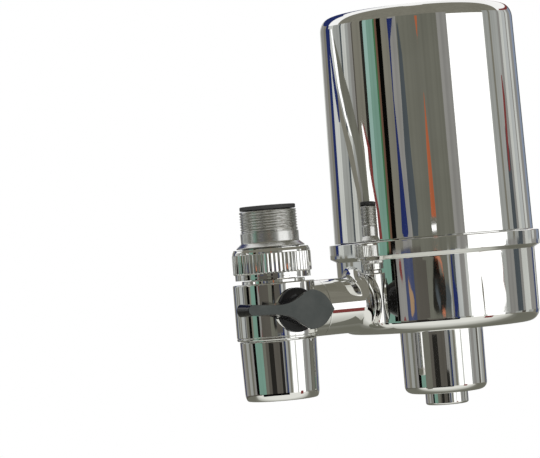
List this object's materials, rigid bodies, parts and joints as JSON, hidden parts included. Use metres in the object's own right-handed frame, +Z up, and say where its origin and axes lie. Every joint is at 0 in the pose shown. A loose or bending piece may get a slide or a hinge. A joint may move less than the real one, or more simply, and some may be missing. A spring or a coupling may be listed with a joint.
{
  "type": "faucet mount water filter",
  "caption": "Chromed water filter that screws to a tap: diverter valve with lever and bypass aerator, side arm, upright round canister with outlet below.",
  "frame": {"origin": "on the diverter's upright axis, in the plane of the tap's end face, where the adapter's neck starts", "axes": "+Z up along the diverter's axis, +X along the arm to the canister, -Y towards the lever"},
  "size_m": [0.1358, 0.0804, 0.1506],
  "materials": {
    "chrome": "mirror chrome plating",
    "inner_metal": "machined and nickel plated",
    "black_plastic": "satin front face, glossy sides",
    "white_plastic": "moulded, satin",
    "rubber": "moulded, matt",
    "carbon": "pressed carbon, matt and slightly grainy",
    "fleece": "bonded fibre, matt",
    "mesh_steel": "plain steel"
  },
  "bodies": {
    "adapter": {"faucet_adapter": "chrome", "adapter_washer": "rubber", "nut_gasket": "rubber"},
    "nut": {"swivel_nut": "chrome"},
    "diverter": {"swivel_stem": "inner_metal", "stem_o_ring": "rubber", "diverter_body": "chrome", "spindle_clip": "mesh_steel", "aerator_sleeve": "chrome", "aerator_washer": "rubber", "aerator_insert": "white_plastic", "aerator_screen": "mesh_steel", "arm_nipple": "inner_metal", "arm_o_ring": "rubber", "filter_base": "chrome", "carbon_block": "carbon", "prefilter_sleeve": "fleece", "cartridge_core": "white_plastic", "cartridge_top_cap": "white_plastic", "cartridge_bottom_cap": "white_plastic", "cartridge_o_ring": "rubber", "outlet_housing": "chrome", "outlet_gasket": "rubber", "flow_restrictor": "white_plastic", "outlet_spout": "chrome"},
    "valve": {"valve_spindle": "inner_metal", "spindle_o_ring_front": "rubber", "spindle_o_ring_rear": "rubber", "diverter_lever": "black_plastic"},
    "seal": {"cover_o_ring": "rubber"},
    "cover": {"cover_shell": "chrome"}
  },
  "joints": [
    {"name": "nut_turn", "type": "hinge", "parent": "adapter", "child": "nut", "pos_m": [0, 0, -0.0119], "axis": [0, 0, 1], "continuous": true},
    {"name": "filter_swivel", "type": "hinge", "parent": "adapter", "child": "diverter", "pos_m": [0, 0, -0.0149], "axis": [0, 0, 1], "continuous": true},
    {"name": "lever_turn", "type": "hinge", "parent": "diverter", "child": "valve", "pos_m": [0, -0.0155, -0.029], "axis": [0, -1, 0], "range_deg": [0, 93.75]},
    {"name": "cover_lift", "type": "slide", "parent": "diverter", "child": "seal", "axis": [0, 0, 1], "range_m": [0, 0.0091]},
    {"name": "cover_turn", "type": "hinge", "parent": "seal", "child": "cover", "pos_m": [0.0711, 0, -0.0068], "axis": [0, 0, 1], "range_deg": [0, 1080]}
  ],
  "couplings": [
    {"joint": "cover_lift", "follows": "cover_turn", "m_per_rad": 0.00047746}
  ]
}
